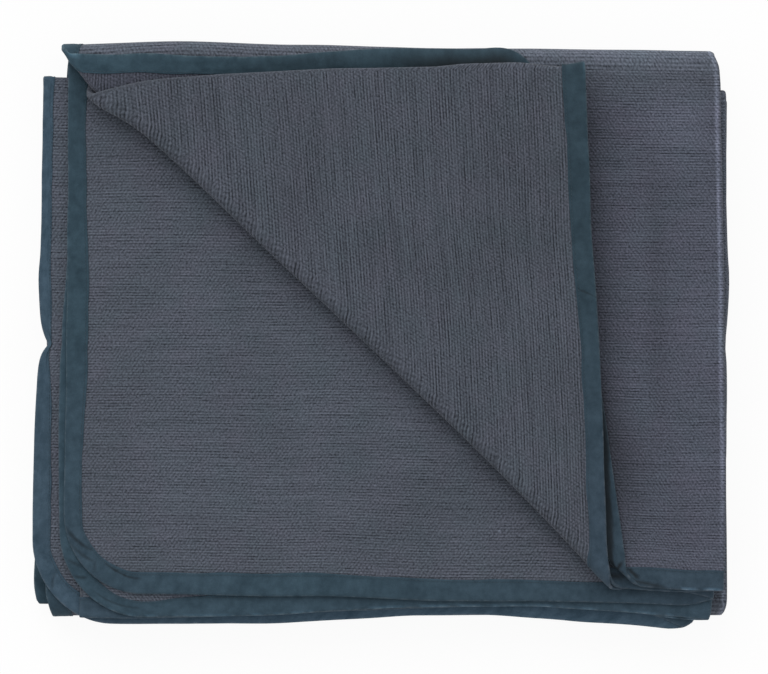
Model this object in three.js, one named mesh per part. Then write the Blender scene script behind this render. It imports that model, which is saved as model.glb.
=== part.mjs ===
// A bound cotton yoga blanket, folded in four across and in four along, with the corner of
// its top leaf turned over. Millimetres, +Z up, resting on z = 0 under the middle of the pack.
//
// Two solids: the woven cloth, and the binding tape that wraps its whole edge.
// Both are drawn on the flat cloth, at (u, v) and w off its middle, and then folded:
// first across into four panels, then the turned corner, then along into four leaves.
import * as THREE from 'three';

// Cloth and tape
const clothThickness = 1.5;
const tapeThickness = 0.35;
const tapeWidth = 15;
const pieceGap = 0.33; // between the cloth and the tape
const tapeEdge = 0.4; // tape round the cloth's edge, seen flat
const edgeGap = 1.2; // between the cloth's raw edge and the tape's fold
const cornerRadius = 60;
const layerGap = 0.25; // between the tape of one layer and of the next
const tapeReach = clothThickness / 2 + pieceGap + tapeThickness;
const layerPitch = 2 * tapeReach + layerGap;

// Panels across, from the first bound edge to the last
const panelOne = 488;
const panelTwo = 446;
const panelThree = 446;
const panelFour = 482;
const sideRadius = layerPitch / 2;
const sideBend = Math.PI * sideRadius;
const panelStarts = {
  two: panelOne + sideBend,
  three: panelOne + panelTwo + 2 * sideBend,
  four: panelOne + panelTwo + panelThree + 3 * sideBend,
};
const flatWidth = panelStarts.four + panelFour;

// Leaves along, as places in y where each lies flat
const topFoot = -190;
const outerHead = 196;
const nearFoot = -192;
const innerHead = 180;
const thirdFoot = -206;
const groupThickness = 4 * layerPitch;
const shoulderRadius = 9; // of the outer fold, at the middle of its four layers
const outerRise = 3 * groupThickness - 2 * shoulderRadius;
const quarterBend = (Math.PI / 2) * shoulderRadius;
const innerBend = (Math.PI / 2) * groupThickness;
const alongStarts = { outerFold: outerHead - topFoot };
alongStarts.bottom = alongStarts.outerFold + 2 * quarterBend + outerRise;
alongStarts.nearFold = alongStarts.bottom + outerHead - nearFoot;
alongStarts.second = alongStarts.nearFold + innerBend;
alongStarts.innerFold = alongStarts.second + innerHead - nearFoot;
alongStarts.third = alongStarts.innerFold + innerBend;
const flatLength = alongStarts.third + innerHead - thirdFoot;
const bottomLevel = 1.5 * layerPitch + clothThickness / 2;
const secondLevel = bottomLevel + groupThickness;
const thirdLevel = secondLevel + groupThickness;
const topLevel = thirdLevel + groupThickness;

// The turned corner: three layers rolled over a line from the top left to the lower right
const creaseStart = { x: -205.9, y: 182.4 };
const creaseEnd = { x: 174.4, y: -178.2 };
const creaseLength = Math.hypot(creaseEnd.x - creaseStart.x, creaseEnd.y - creaseStart.y);
const creaseAlong = {
  x: (creaseEnd.x - creaseStart.x) / creaseLength,
  y: (creaseEnd.y - creaseStart.y) / creaseLength,
};
const creaseAcross = { x: creaseAlong.y, y: -creaseAlong.x };
const rollRadius = 1.5 * layerPitch;
const rollBend = Math.PI * rollRadius;
const rollTop = 2 * layerPitch; // the face of the top leaf, above its middle
const bow = { rise: 6.8, reach: 150, length: 505 };
const pulledEnd = { rise: 8, x: 178, y: -178, reach: 48 }; // panel one, near the end of the roll
// Panels two and three spring up away from the roll, and further still towards the turned corner
const flapLift = { rise: 9, from: 14, to: 120, cornerRise: 6, cornerTo: 255 };

// Names the columns of a table
function table(columns, rows) {
  return rows.map((row) => Object.fromEntries(columns.map((name, index) => [name, row[index]])));
}

// Where the edges and side folds lie, down the length of the cloth
const sideRows = table(['at', 'edgeOne', 'backFold', 'edgeFour', 'foldOneTwo', 'foldThreeFour'], [
  [0, -221, -209, -231.5, 245.8, 239],
  [20, -222, -209.8, -231.2, 246.3, 239.8],
  [50, -223.3, -212.2, -230.8, 247.3, 240.8],
  [75, -223.1, -213.5, -230.4, 248, 241.7],
  [100, -224.4, -214.5, -230, 248, 242.5],
  [150, -226.1, -214.6, -229.2, 247.5, 244],
  [190, -225.9, -214.7, -228.5, 247, 245],
  [230, -225, -213.1, -228.3, 246.5, 245],
  [290, -226.3, -210.6, -228, 245.5, 244.5],
  [340, -231.6, -210, -228, 244.5, 244],
  [alongStarts.outerFold, -235, -206, -227.5, 243, 242],
  [alongStarts.outerFold + quarterBend, -232, -202, -227.5, 238.5, 238],
  [alongStarts.bottom, -229, -197, -229, 243, 242],
  [alongStarts.bottom + 190, -241.5, -194, -241.5, 247, 247],
  [alongStarts.nearFold, -245, -194, -254.7, 250, 249.6],
  [alongStarts.second, -245, -194, -254.7, 250, 249.6],
  [alongStarts.second + 190, -241.5, -194, -241.5, 249.4, 248.9],
  [alongStarts.innerFold, -246.4, -196, -228, 249.5, 248.7],
  [alongStarts.third, -246.4, -198, -226, 249.5, 248.7],
  [alongStarts.third + 80, -247, -202, -226.5, 249.6, 248.8],
  [alongStarts.third + 118, -248.3, -204, -228, 250.3, 249.5],
  [alongStarts.third + 136, -249.9, -205, -229.5, 251.2, 250],
  [alongStarts.third + 160, -249.8, -206, -231.5, 250.8, 249.8],
  [alongStarts.third + 205, -250.8, -208, -234, 249.6, 248.8],
  [alongStarts.third + 230, -251.8, -210, -234.6, 249.5, 248.7],
  [alongStarts.third + 270, -252.8, -213, -234.4, 249.2, 248.4],
  [alongStarts.third + 310, -253.6, -216, -234.3, 244, 246.5],
  [flatLength - 15, -254, -217, -233, 235.5, 241],
  [flatLength, -254, -217, -232.8, 229, 238],
]);

// How far each panel's free end stands from its leaf's foot, across the pack
const footRows = table(['at', 'topOne', 'topPair', 'topFour', 'thirdOne', 'thirdPair', 'thirdFour'], [
  [-240, 22, 7, 3.2, -2.4, 2, 4.5],
  [-170, 20.5, 8.6, 2.9, -3.2, 1.2, 2.2],
  [-95, 17.5, 9.8, 1.6, -3, 3, 3.2],
  [-40, 14.4, 9.2, 1.2, -1, 5.5, 5.8],
  [25, 9.5, 9.8, -1.4, 3.2, 8.5, 9.3],
  [80, 5.4, 11.4, -2.2, 2.7, 9.9, 9.8],
  [110, 3.8, 11.4, -2.4, 1, 10, 9.6],
  [140, 3, 10.8, -3, -1, 9.2, 7.9],
  [170, 3, 8, -3.6, -3, 7, 6],
  [210, 3.2, 5, -5, -7.2, 1.3, 2.7],
  [240, 5, 5, -6, -11.5, -2, 1.5],
]);
const footFade = 300;
const footBlend = 24; // from one panel to the next, either side of the fold between them
const firstBlend = 12; // the same, on panel one's side of its fold

// How far the two far folds stand from their nominal place, across the pack
const headRows = table(['at', 'outer', 'inner'], [
  [-240, 1.8, 7],
  [-150, 4.5, 5],
  [-95, 3, 3],
  [25, 0, -3],
  [110, -1, -7],
  [240, -2.6, -12],
]);
const headRamp = { from: 40, to: 170 };

// An old crease half way along the lower leaves draws their sides in
const notch = { y: -5.2, left: 7.8, leftInner: 1.2, right: 1.6, above: 12.5, below: 7, round: 1 };

// The near fold is narrower than the leaves it joins
const nearNip = { one: 5.2, four: 5, edgeReach: 7.5, folds: 2.6, foldsReach: 5.5 };

// The first panel's tape is raised under the pack, so that the cloth beside it lies flat
const tapeLift = { rise: tapeReach - clothThickness / 2, fadeFrom: tapeWidth, fadeTo: 60 };

// Colours of the two pieces
const clothColour = 0x4c525c;
const tapeColour = 0x384a55;

function clamp(value, low, high) {
  return Math.min(high, Math.max(low, value));
}

function mix(start, end, share) {
  return start + (end - start) * share;
}

function ramp(value, from, to) {
  return clamp((value - from) / (to - from), 0, 1);
}

function softRamp(value, from, to) {
  const share = ramp(value, from, to);
  return share * share * (3 - 2 * share);
}

// A smooth curve through one column of a table
function read(rows, column, at) {
  const place = clamp(at, rows[0].at, rows[rows.length - 1].at);
  let index = rows.findIndex((row) => row.at >= place);
  index = Math.max(index, 1);
  const slope = (from, to) => (rows[to][column] - rows[from][column]) / (rows[to].at - rows[from].at);
  const span = rows[index].at - rows[index - 1].at;
  const share = (place - rows[index - 1].at) / span;
  const slopeIn = slope(Math.max(index - 2, 0), index) * span;
  const slopeOut = slope(index - 1, Math.min(index + 1, rows.length - 1)) * span;
  const square = share * share;
  const cube = square * share;
  return (2 * cube - 3 * square + 1) * rows[index - 1][column] + (cube - 2 * square + share) * slopeIn
    + (3 * square - 2 * cube) * rows[index][column] + (cube - square) * slopeOut;
}

// y where the cloth's length v lies, with no thickness
function levelPlace(v) {
  if (v < alongStarts.bottom) return Math.min(topFoot + v, outerHead);
  if (v < alongStarts.second) return Math.max(outerHead - (v - alongStarts.bottom), nearFoot);
  if (v < alongStarts.third) return Math.min(nearFoot + v - alongStarts.second, innerHead);
  return innerHead - (v - alongStarts.third);
}

// How much of a point moves with panel one, with the middle pair and with panel four
function panelShares(u) {
  const one = 1 - softRamp(u, panelOne - firstBlend, panelStarts.two + footBlend);
  const four = softRamp(u, panelStarts.four - sideBend - footBlend, panelStarts.four + footBlend);
  return { one, pair: 1 - one - four, four };
}

// Only the three upper layers of the top leaf turn over the crease
function inCorner(u, v) {
  return v <= alongStarts.bottom && u <= panelStarts.four - sideBend;
}

// The four panels, folded back and forth: x, and the height above the middle of the group
function foldAcross(u, v, w) {
  const lowerLeaf = softRamp(v, alongStarts.bottom, alongStarts.bottom + 60);
  const offNotch = levelPlace(v) - notch.y;
  const fall = offNotch > 0 ? notch.above : notch.below;
  const drawn = lowerLeaf * Math.exp(-(Math.hypot(offNotch, notch.round) - notch.round) / fall);
  const fromNear = v - (alongStarts.nearFold + alongStarts.second) / 2;
  const edgeNip = Math.exp(-((fromNear / nearNip.edgeReach) ** 2));
  const foldNip = nearNip.folds * Math.exp(-((fromNear / nearNip.foldsReach) ** 2));
  const foldOneTwo = read(sideRows, 'foldOneTwo', v) - notch.right * drawn - foldNip;
  const foldThreeFour = read(sideRows, 'foldThreeFour', v) - notch.right * drawn - foldNip;
  const backFold = read(sideRows, 'backFold', v);
  const edgeOne = read(sideRows, 'edgeOne', v) + notch.left * drawn + nearNip.one * edgeNip;
  const edgeFour = read(sideRows, 'edgeFour', v) + notch.leftInner * drawn + nearNip.four * edgeNip;
  const turn = (start) => (u - start) / sideRadius;
  if (u <= panelOne) return { x: mix(edgeOne, foldOneTwo, u / panelOne), height: 3 * sideRadius + w };
  if (u < panelStarts.two) {
    const angle = turn(panelOne);
    const radius = sideRadius + w;
    return {
      x: foldOneTwo + radius * Math.sin(angle),
      height: 2 * sideRadius + radius * Math.cos(angle),
    };
  }
  if (u <= panelStarts.two + panelTwo) {
    return { x: mix(foldOneTwo, backFold, (u - panelStarts.two) / panelTwo), height: sideRadius - w };
  }
  if (u < panelStarts.three) {
    const angle = turn(panelStarts.two + panelTwo);
    const radius = sideRadius - w;
    return { x: backFold - radius * Math.sin(angle), height: radius * Math.cos(angle) };
  }
  if (u <= panelStarts.three + panelThree) {
    return {
      x: mix(backFold, foldThreeFour, (u - panelStarts.three) / panelThree),
      height: -sideRadius + w,
    };
  }
  if (u < panelStarts.four) {
    const angle = turn(panelStarts.three + panelThree);
    const radius = sideRadius + w;
    return {
      x: foldThreeFour + radius * Math.sin(angle),
      height: -2 * sideRadius + radius * Math.cos(angle),
    };
  }
  return {
    x: mix(foldThreeFour, edgeFour, (u - panelStarts.four) / panelFour),
    height: -3 * sideRadius - w,
  };
}

// Moves the free ends of the top and third leaves, panel by panel
function shiftFeet(u, v, x) {
  const shares = panelShares(u);
  const foot = (leaf) => shares.one * read(footRows, `${leaf}One`, x)
    + shares.pair * read(footRows, `${leaf}Pair`, x) + shares.four * read(footRows, `${leaf}Four`, x);
  if (v < footFade) return v + foot('top') * (1 - v / footFade) ** 2;
  if (v > flatLength - footFade) return v - foot('third') * (1 - (flatLength - v) / footFade) ** 2;
  return v;
}

// How far past the crease a point of the top leaf lies
function pastCrease(x, along) {
  return (x - creaseStart.x) * creaseAcross.x + (along + topFoot - creaseStart.y) * creaseAcross.y;
}

// Rolls the corner of the three upper layers over the crease
function turnCorner(point, shareOne) {
  const past = pastCrease(point.x, point.along);
  if (past <= 0) return point;
  const lift = (1 - shareOne) * (flapLift.rise * softRamp(past, flapLift.from, flapLift.to)
    + flapLift.cornerRise * softRamp(past, flapLift.to, flapLift.cornerTo));
  const angle = Math.min(past / rollRadius, Math.PI);
  const radius = rollTop - point.height;
  const across = radius * Math.sin(angle) - Math.max(past - rollBend, 0);
  return {
    x: point.x + (across - past) * creaseAcross.x,
    along: point.along + (across - past) * creaseAcross.y,
    height: rollTop - radius * Math.cos(angle) + lift,
  };
}

// Bows the roll towards the upper right, and pulls panel one in near the roll's end
function easeCorner(point, shareOne) {
  const x = point.x - creaseStart.x;
  const y = point.along + topFoot - creaseStart.y;
  const along = clamp((x * creaseAlong.x + y * creaseAlong.y) / bow.length, 0, 1);
  const across = (x * creaseAcross.x + y * creaseAcross.y) / bow.reach;
  const fade = Math.cos((Math.PI / 2) * clamp(across, -1, 1)) ** 2;
  const fromEnd = Math.hypot(point.x - pulledEnd.x, point.along + topFoot - pulledEnd.y);
  const pull = shareOne * pulledEnd.rise * Math.exp(-((fromEnd / pulledEnd.reach) ** 2));
  const rise = bow.rise * (1 - Math.abs(2 * along - 1) ** 3) * fade + pull;
  return {
    x: point.x - rise * creaseAcross.x,
    along: point.along - rise * creaseAcross.y,
    height: point.height,
  };
}

// The four leaves, each folded under the one before
function foldAlong(along, height) {
  if (along < alongStarts.outerFold) return { y: topFoot + along, z: topLevel + height };
  if (along < alongStarts.bottom) {
    const past = along - alongStarts.outerFold;
    const radius = shoulderRadius + height;
    const angle = clamp(past, 0, quarterBend) / shoulderRadius
      + Math.max(past - quarterBend - outerRise, 0) / shoulderRadius;
    const upper = angle <= Math.PI / 2;
    const centre = upper ? topLevel - shoulderRadius : bottomLevel + shoulderRadius;
    const drop = upper ? clamp(past - quarterBend, 0, outerRise) : 0;
    return { y: outerHead + radius * Math.sin(angle), z: centre - drop + radius * Math.cos(angle) };
  }
  if (along < alongStarts.nearFold) {
    return { y: outerHead - (along - alongStarts.bottom), z: bottomLevel - height };
  }
  const bendRadius = groupThickness / 2;
  if (along < alongStarts.second) {
    const angle = (along - alongStarts.nearFold) / bendRadius;
    const radius = bendRadius + height;
    return {
      y: nearFoot - radius * Math.sin(angle),
      z: bottomLevel + bendRadius - radius * Math.cos(angle),
    };
  }
  if (along < alongStarts.innerFold) {
    return { y: nearFoot + along - alongStarts.second, z: secondLevel + height };
  }
  if (along < alongStarts.third) {
    const angle = (along - alongStarts.innerFold) / bendRadius;
    const radius = bendRadius - height;
    return {
      y: innerHead + radius * Math.sin(angle),
      z: secondLevel + bendRadius - radius * Math.cos(angle),
    };
  }
  return { y: innerHead - (along - alongStarts.third), z: thirdLevel - height };
}

// The point before the along folds
function beforeLeaves(u, v, w) {
  const { x, height } = foldAcross(u, v, w);
  const shares = panelShares(u);
  const liftAlong = v < alongStarts.bottom
    ? ramp(v, alongStarts.outerFold, alongStarts.bottom)
    : 1 - ramp(v, alongStarts.nearFold, alongStarts.second);
  const lift = tapeLift.rise * liftAlong * (1 - ramp(u, tapeLift.fadeFrom, tapeLift.fadeTo));
  let point = { x, along: shiftFeet(u, v, x), height: height - lift };
  if (inCorner(u, v)) point = easeCorner(turnCorner(point, shares.one), shares.one);
  return point;
}

function fold(u, v, w) {
  const point = beforeLeaves(u, v, w);
  const { y, z } = foldAlong(point.along, point.height);
  const head = v < alongStarts.second ? 'outer' : 'inner';
  const shift = read(headRows, head, point.x) * softRamp(y, headRamp.from, headRamp.to);
  return new THREE.Vector3(point.x, y + shift, z);
}

// Flat cloth with round corners: an inset point of the square outline moves in towards the middle
function roundCorners(u, v, inset) {
  const side = u < flatWidth / 2 ? 1 : -1;
  const end = v < flatLength / 2 ? 1 : -1;
  const edgeU = side > 0 ? 0 : flatWidth;
  const edgeV = end > 0 ? 0 : flatLength;
  const keep = 1 - inset / cornerRadius;
  const a = Math.max(0, 1 - Math.abs(u - edgeU) / cornerRadius) * keep;
  const b = Math.max(0, 1 - Math.abs(v - edgeV) / cornerRadius) * keep;
  const pull = a > 0 && b > 0 ? Math.max(a, b) / Math.hypot(a, b) : 1;
  return {
    u: a > 0 ? edgeU + side * cornerRadius * (1 - a * pull) : u,
    v: b > 0 ? edgeV + end * cornerRadius * (1 - b * pull) : v,
  };
}

// Places along a line: evenly spaced steps, with the first end left out
function steps(from, to, count) {
  return Array.from({ length: count }, (_, index) => mix(from, to, (index + 1) / count));
}

const cornerSteps = [0, tapeWidth, 36, cornerRadius];
const shoulderSteps = 6;
const rollSteps = 6;

function linesAcross() {
  const lines = [...cornerSteps];
  lines.push(...steps(cornerRadius, panelOne - firstBlend, 2));
  lines.push(panelOne);
  lines.push(...steps(panelOne, panelStarts.two, 3));
  lines.push(panelStarts.two + footBlend);
  lines.push(...steps(panelStarts.two + footBlend, panelStarts.two + panelTwo, 3));
  lines.push(...steps(panelStarts.two + panelTwo, panelStarts.three, 3));
  lines.push(...steps(panelStarts.three, panelStarts.three + panelThree - footBlend, 3));
  lines.push(panelStarts.three + panelThree);
  lines.push(...steps(panelStarts.three + panelThree, panelStarts.four, 3));
  lines.push(panelStarts.four + footBlend);
  lines.push(...steps(panelStarts.four + footBlend, flatWidth - cornerRadius, 2));
  lines.push(...cornerSteps.slice(0, -1).reverse().map((step) => flatWidth - step));
  return lines;
}

function linesAlong() {
  const lines = [...cornerSteps];
  const outerBendEnd = alongStarts.outerFold + quarterBend;
  const notchLines = (start, direction) => [-2 * notch.below, 0, 2 * notch.above]
    .map((side) => start + direction * (notch.y + side)).sort((first, last) => first - last);
  lines.push(...steps(cornerRadius, alongStarts.outerFold, 4));
  lines.push(...steps(alongStarts.outerFold, outerBendEnd, shoulderSteps));
  lines.push(outerBendEnd + outerRise);
  lines.push(...steps(outerBendEnd + outerRise, alongStarts.bottom, 3));
  lines.push(...notchLines(alongStarts.bottom + outerHead, -1));
  lines.push(alongStarts.nearFold);
  lines.push(...steps(alongStarts.nearFold, alongStarts.second, 4));
  lines.push(...notchLines(alongStarts.second - nearFoot, 1));
  lines.push(alongStarts.innerFold);
  lines.push(...steps(alongStarts.innerFold, alongStarts.third, 4));
  lines.push(...notchLines(alongStarts.third + innerHead, -1));
  lines.push(...cornerSteps.slice().reverse().map((step) => flatLength - step));
  return lines;
}

// The flat cloth as a grid of cells, each a ring of vertices
function makeGrid() {
  const across = linesAcross();
  const along = linesAlong();
  const grid = along.map((v) => across.map((u) => ({ u, v })));
  const cells = [];
  for (let row = 0; row + 1 < along.length; row += 1) {
    for (let column = 0; column + 1 < across.length; column += 1) {
      const ring = [
        grid[row][column],
        grid[row][column + 1],
        grid[row + 1][column + 1],
        grid[row + 1][column],
      ];
      const cornerCell = (ring[0].u < flatWidth / 2) === (ring[0].v < flatLength / 2);
      cells.push(cornerCell ? ring : [...ring.slice(1), ring[0]]);
    }
  }
  return cells;
}

// Where a vertex lies on the cloth, with its outline drawn in by an inset
function placeOf({ u, v }, inset) {
  const atOutline = u === 0 || u === flatWidth || v === 0 || v === flatLength;
  return roundCorners(u, v, atOutline ? inset : 0);
}

const snap = 0.2; // a vertex this near a cutting line is taken as on it

// Cuts every cell along the line where the field has one value
function cutCells(cells, field, level) {
  const numbers = new Map();
  const numberOf = (vertex) => {
    if (!numbers.has(vertex)) numbers.set(vertex, numbers.size);
    return numbers.get(vertex);
  };
  const made = new Map();
  const crossing = (first, second, share) => {
    const key = [numberOf(first), numberOf(second)].sort((a, b) => a - b).join(' ');
    if (!made.has(key)) {
      made.set(key, { u: mix(first.u, second.u, share), v: mix(first.v, second.v, share) });
    }
    return made.get(key);
  };
  const sideOf = (vertex) => {
    const value = field(vertex) - level;
    return Math.abs(value) < snap ? 0 : value;
  };
  return cells.flatMap((ring) => {
    const sides = ring.map(sideOf);
    if (Math.min(...sides) >= 0 || Math.max(...sides) <= 0) return [ring];
    const over = [];
    const under = [];
    ring.forEach((vertex, index) => {
      const next = (index + 1) % ring.length;
      if (sides[index] >= 0) over.push(vertex);
      if (sides[index] <= 0) under.push(vertex);
      if (sides[index] * sides[next] < 0) {
        const point = crossing(vertex, ring[next], sides[index] / (sides[index] - sides[next]));
        over.push(point);
        under.push(point);
      }
    });
    return [over, under];
  });
}

// Cuts the grid where the turned corner bends, and where it bends again over the outer fold
function cutForCorner(grid, inset) {
  const creaseField = (vertex) => {
    if (!inCorner(vertex.u, vertex.v)) return -1;
    const { u, v } = placeOf(vertex, inset);
    const { x } = foldAcross(u, v, 0);
    return pastCrease(x, shiftFeet(u, v, x));
  };
  let cells = grid;
  for (const level of [0, ...steps(0, rollBend, rollSteps)]) {
    cells = cutCells(cells, creaseField, level);
  }
  const alongField = (vertex) => {
    if (!inCorner(vertex.u, vertex.v)) return vertex.v;
    const { u, v } = placeOf(vertex, inset);
    return beforeLeaves(u, v, 0).along;
  };
  for (const past of [0, ...steps(0, quarterBend, shoulderSteps)]) {
    cells = cutCells(cells, alongField, alongStarts.outerFold + past);
  }
  return cells;
}

// Splits a cell into triangles from the vertex that keeps the thinnest of them widest
function splitCell(ring) {
  const areaOf = (a, b, c) => Math.abs((b.u - a.u) * (c.v - a.v) - (c.u - a.u) * (b.v - a.v));
  let best = null;
  ring.forEach((_, start) => {
    const turnedRing = [...ring.slice(start), ...ring.slice(0, start)];
    const triangles = [];
    for (let index = 1; index + 1 < ring.length; index += 1) {
      triangles.push([turnedRing[0], turnedRing[index], turnedRing[index + 1]]);
    }
    const least = Math.min(...triangles.map((triangle) => areaOf(...triangle)));
    if (!best || least > best.least * 1.001) best = { least, triangles };
  });
  return best.triangles;
}

// Builds one closed body from faces laid on the folded cloth at named offsets
class FoldedBody {
  constructor() {
    this.positions = [];
  }

  // A vertex of the flat cloth at height w, its outline drawn in by an inset
  put(vertex, w, inset) {
    const { u, v } = placeOf(vertex, inset);
    return fold(u, v, w);
  }

  face(a, b, c) {
    this.positions.push(...a.toArray(), ...b.toArray(), ...c.toArray());
  }

  // A sheet of triangles at height w, facing up or down
  sheet(triangles, w, inset, up) {
    for (const [a, b, c] of triangles) {
      const corners = [a, b, c].map((vertex) => this.put(vertex, w, inset));
      if (up) this.face(corners[0], corners[1], corners[2]);
      else this.face(corners[0], corners[2], corners[1]);
    }
  }

  // A strip along edges from a low offset to a high one, facing right of each edge
  wall(edges, low, high, inset) {
    for (const [a, b] of edges) {
      const lowA = this.put(a, low, inset);
      const lowB = this.put(b, low, inset);
      const highA = this.put(a, high, inset);
      const highB = this.put(b, high, inset);
      this.face(lowA, lowB, highB);
      this.face(lowA, highB, highA);
    }
  }

  mesh(name, colour) {
    const geometry = new THREE.BufferGeometry();
    geometry.setAttribute('position', new THREE.Float32BufferAttribute(this.positions, 3));
    geometry.computeVertexNormals();
    const material = new THREE.MeshStandardMaterial({ color: colour, roughness: 0.95, metalness: 0 });
    const mesh = new THREE.Mesh(geometry, material);
    mesh.name = name;
    return mesh;
  }
}

// The edges that only one triangle uses, in that triangle's direction
function openEdges(triangles) {
  const numbers = new Map();
  const numberOf = (vertex) => {
    if (!numbers.has(vertex)) numbers.set(vertex, numbers.size);
    return numbers.get(vertex);
  };
  const edges = new Map();
  for (const [a, b, c] of triangles) {
    for (const [from, to] of [[a, b], [b, c], [c, a]]) {
      const back = `${numberOf(to)} ${numberOf(from)}`;
      if (edges.has(back)) edges.delete(back);
      else edges.set(`${numberOf(from)} ${numberOf(to)}`, [from, to]);
    }
  }
  return [...edges.values()];
}

function makeCloth(grid) {
  const body = new FoldedBody();
  const half = clothThickness / 2;
  const inset = tapeEdge + edgeGap;
  const triangles = cutForCorner(grid, inset).flatMap(splitCell);
  body.sheet(triangles, half, inset, true);
  body.sheet(triangles, -half, inset, false);
  body.wall(openEdges(triangles), -half, half, inset);
  return body.mesh('blanket', clothColour);
}

// The tape's section is a U: two sides on the cloth, joined round its edge
function makeBinding(grid) {
  const body = new FoldedBody();
  const nearEdge = ({ u, v }) => Math.min(u, v, flatWidth - u, flatLength - v) <= tapeWidth + 0.01;
  const band = cutForCorner(grid, 0).filter((ring) => ring.every(nearEdge));
  const triangles = band.flatMap(splitCell);
  const outer = tapeReach;
  const inner = tapeReach - tapeThickness;
  body.sheet(triangles, outer, 0, true);
  body.sheet(triangles, inner, tapeEdge, false);
  body.sheet(triangles, -inner, tapeEdge, true);
  body.sheet(triangles, -outer, 0, false);
  const atOutline = ({ u, v }) => u === 0 || v === 0 || u === flatWidth || v === flatLength;
  const edges = openEdges(triangles);
  const outline = edges.filter((edge) => edge.every(atOutline));
  const lips = edges.filter((edge) => !edge.every(atOutline));
  body.wall(outline, -outer, outer, 0);
  body.wall(outline.map(([a, b]) => [b, a]), -inner, inner, tapeEdge);
  body.wall(lips, inner, outer, 0);
  body.wall(lips, -outer, -inner, 0);
  return body.mesh('binding', tapeColour);
}

const grid = makeGrid();
const pieces = [makeCloth(grid), makeBinding(grid)];

// The origin stands under the middle of the pack
const pack = new THREE.Box3();
for (const piece of pieces) {
  piece.geometry.computeBoundingBox();
  pack.union(piece.geometry.boundingBox);
}
const middle = pack.getCenter(new THREE.Vector3());
const blanket = new THREE.Group();
for (const piece of pieces) {
  piece.geometry.translate(-middle.x, -middle.y, -pack.min.z);
  blanket.add(piece);
}

export default blanket;
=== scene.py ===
import bpy
import bmesh
import math
import numpy as np
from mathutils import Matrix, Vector


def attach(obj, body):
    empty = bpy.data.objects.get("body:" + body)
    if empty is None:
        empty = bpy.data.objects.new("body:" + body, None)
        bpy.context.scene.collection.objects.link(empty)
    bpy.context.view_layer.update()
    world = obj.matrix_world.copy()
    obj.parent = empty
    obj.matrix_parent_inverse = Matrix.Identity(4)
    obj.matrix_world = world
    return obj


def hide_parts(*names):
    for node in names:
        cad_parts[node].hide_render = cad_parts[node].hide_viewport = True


# A bound cotton yoga blanket, folded in four across and in four along, with the corner of its
# top leaf turned over. The cloth is drawn flat at (u, v), w off its middle, and then folded.
# Folding sums are in millimetres, and meshes are in metres.

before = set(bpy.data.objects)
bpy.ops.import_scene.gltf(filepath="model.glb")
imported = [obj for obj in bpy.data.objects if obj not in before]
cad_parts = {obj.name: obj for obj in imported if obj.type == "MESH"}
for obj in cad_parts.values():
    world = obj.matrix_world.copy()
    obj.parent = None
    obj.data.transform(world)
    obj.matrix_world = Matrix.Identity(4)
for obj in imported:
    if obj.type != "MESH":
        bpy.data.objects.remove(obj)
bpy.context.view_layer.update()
print("frame loaded")

metre = 0.001

sizes = {
    "clothThickness": 1.5, "tapeThickness": 0.35, "tapeWidth": 15.0,
    "tapeReach": 1.43,  # from the middle of the cloth to the outside of the tape
    "layerPitch": 3.11, "cornerRadius": 60.0,
}
panels = {"one": 488.0, "two": 446.0, "three": 446.0, "four": 482.0}  # across, edge to edge
topFoot, nearFoot, thirdFoot = -190.0, -192.0, -206.0  # where the leaves' ends lie along the pack
outerHead, innerHead = 196.0, 180.0
shoulder = 9.0  # radius of the outer fold
pitch, cornerRadius = sizes["layerPitch"], sizes["cornerRadius"]
sideRadius = pitch / 2
sideBend = math.pi * sideRadius
panelTwo = panels["one"] + sideBend
panelTwoEnd = panelTwo + panels["two"]
panelThree = panelTwoEnd + sideBend
panelThreeEnd = panelThree + panels["three"]
panelFour = panelThreeEnd + sideBend
flatWidth = panelFour + panels["four"]

groupThickness = 4 * pitch
outerRise = 3 * groupThickness - 2 * shoulder
quarterBend = math.pi / 2 * shoulder
innerBend = math.pi / 2 * groupThickness
outerFold = outerHead - topFoot
bottomLeaf = outerFold + 2 * quarterBend + outerRise
nearFold = bottomLeaf + outerHead - nearFoot
secondLeaf = nearFold + innerBend
innerFold = secondLeaf + innerHead - nearFoot
thirdLeaf = innerFold + innerBend
flatLength = thirdLeaf + innerHead - thirdFoot
bottomLevel = 1.5 * pitch + sizes["clothThickness"] / 2
secondLevel = bottomLevel + groupThickness
thirdLevel = secondLevel + groupThickness
topLevel = thirdLevel + groupThickness
packMiddle = (-0.613, 0.203)  # the frame's origin, in the fold's own places

# the corner is rolled over a line from the top left to the lower right
creaseX, creaseY, creaseEndX, creaseEndY = -205.9, 182.4, 174.4, -178.2
creaseLength = math.hypot(creaseEndX - creaseX, creaseEndY - creaseY)
alongX, alongY = (creaseEndX - creaseX) / creaseLength, (creaseEndY - creaseY) / creaseLength
acrossX, acrossY = alongY, -alongX
rollRadius = 1.5 * pitch
rollBend = math.pi * rollRadius
rollTop = 2 * pitch
bow = {"rise": 6.8, "reach": 150.0, "length": 505.0}
tuckedEnd, pulledEnd = (5.5, -205.0, 170.0, 24.0), (8.0, 178.0, -178.0, 48.0)  # how far, place, reach
notch = {"y": -5.2, "left": (7.8, 1.2), "right": 1.6, "above": 12.5, "below": 7.0, "round": 1.0,
         "fadeIn": 60.0}
tapeLift = {"rise": sizes["tapeReach"] - sizes["clothThickness"] / 2, "from": 15.0, "to": 60.0}
footFade = 300.0
footBlend = 24.0
firstBlend = 12.0
headRamp = (40.0, 170.0)


def rowsFrom(start, rows, place=float):  # rows of a table, their places measured from a start
    return [(place(start + at), *values) for at, *values in rows]


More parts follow.
